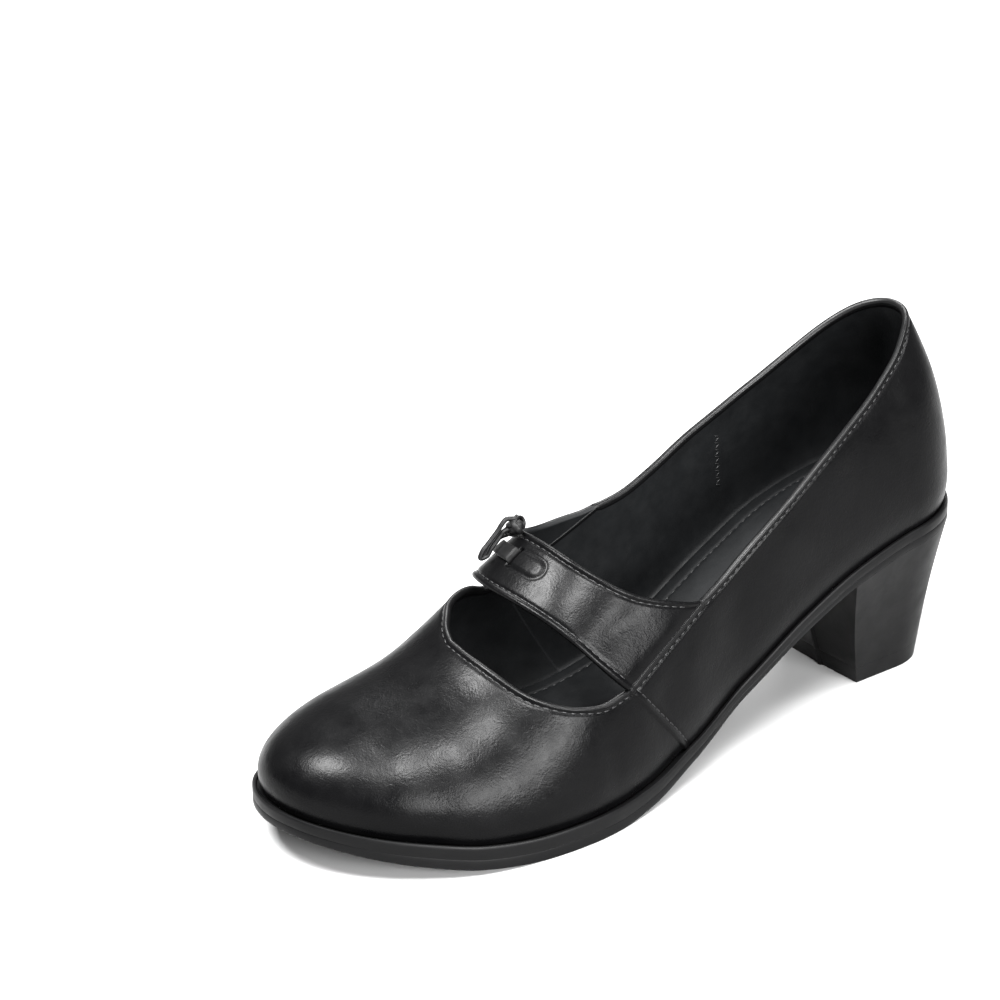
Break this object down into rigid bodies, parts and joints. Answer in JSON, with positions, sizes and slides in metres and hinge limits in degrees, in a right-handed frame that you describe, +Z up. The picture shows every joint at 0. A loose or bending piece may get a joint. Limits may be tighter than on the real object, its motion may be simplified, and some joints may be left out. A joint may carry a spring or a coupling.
{
  "type": "mary jane pump",
  "caption": "Black leather mary jane pump with a block heel, a wide instep strap that carries a small laced bow, and a half-moon window in the vamp.",
  "frame": {"origin": "on the floor, under the middle of the shoe's box", "axes": "+X to the toe, +Y to the outer (left) side, +Z up"},
  "size_m": [0.2406, 0.0872, 0.1154],
  "materials": {
    "leather": "smooth black leather with a fine grain and a soft polish",
    "lining": "thin matt black lining leather",
    "sole": "satin black moulded sole unit",
    "lace": "narrow black leather lace with a dull edge"
  },
  "bodies": {
    "root": {"upper": "leather", "strap": "leather", "insole": "lining", "outsole": "sole", "heel_block": "sole", "top_lift": "sole", "lace_bar": "lace", "lace_knot": "lace", "lace_loop_front": "lace", "lace_loop_inner": "lace", "lace_end_front": "lace", "lace_end_back": "lace"}
  },
  "joints": []
}
